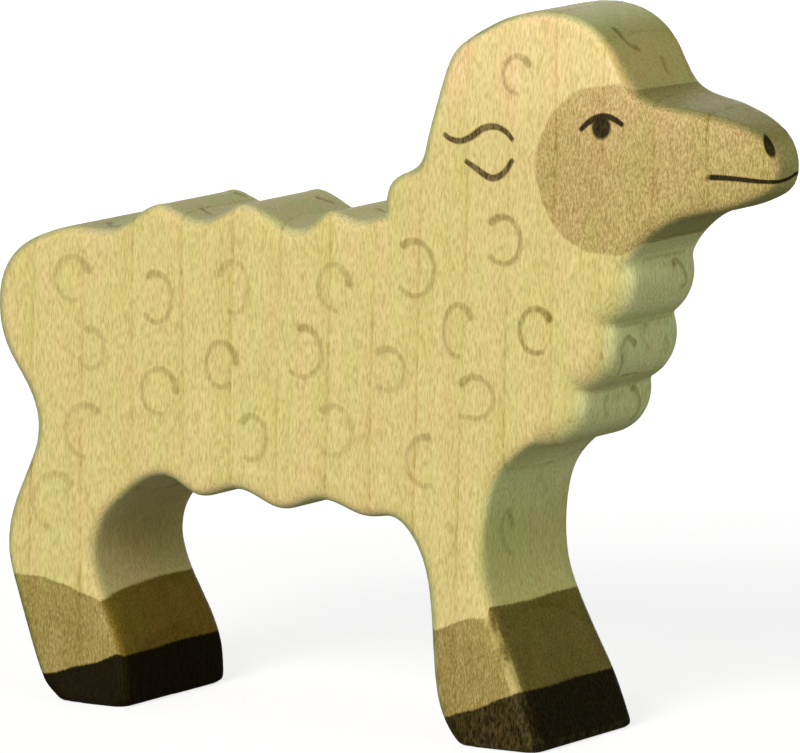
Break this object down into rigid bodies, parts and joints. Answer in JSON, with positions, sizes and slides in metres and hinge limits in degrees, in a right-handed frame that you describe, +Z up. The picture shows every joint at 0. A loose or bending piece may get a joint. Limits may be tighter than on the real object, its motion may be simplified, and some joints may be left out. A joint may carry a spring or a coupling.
{
  "type": "sheep figurine",
  "caption": "Carved wooden lamb with a waved wool outline, stained face and leg bands, dark hooves and inked curls, standing on its sawn soles as a toy or ornament.",
  "frame": {"origin": "middle of the lamb's box, on the plane that its soles stand on", "axes": "+X to the muzzle, +Y to the lamb's left flank, +Z up"},
  "size_m": [0.0842, 0.0184, 0.07],
  "materials": {
    "maple": "sanded, thin oil",
    "face_stain": "sanded, thin water stain",
    "leg_stain": "sanded, thin water stain",
    "hoof_paint": "sanded, thin dark stain",
    "brown_ink": "brushed stain",
    "dark_ink": "brushed stain"
  },
  "bodies": {
    "root": {"maple_block": "maple", "face_stain": "face_stain", "mouth_line": "dark_ink", "right_eye": "dark_ink", "left_eye": "dark_ink", "right_nostril": "dark_ink", "left_nostril": "dark_ink", "right_ear_mark": "brown_ink", "left_ear_mark": "brown_ink", "right_wool_curls": "brown_ink", "left_wool_curls": "brown_ink", "rear_leg_stain": "leg_stain", "fore_leg_stain": "leg_stain", "rear_hoof_paint": "hoof_paint", "fore_hoof_paint": "hoof_paint"}
  },
  "joints": []
}
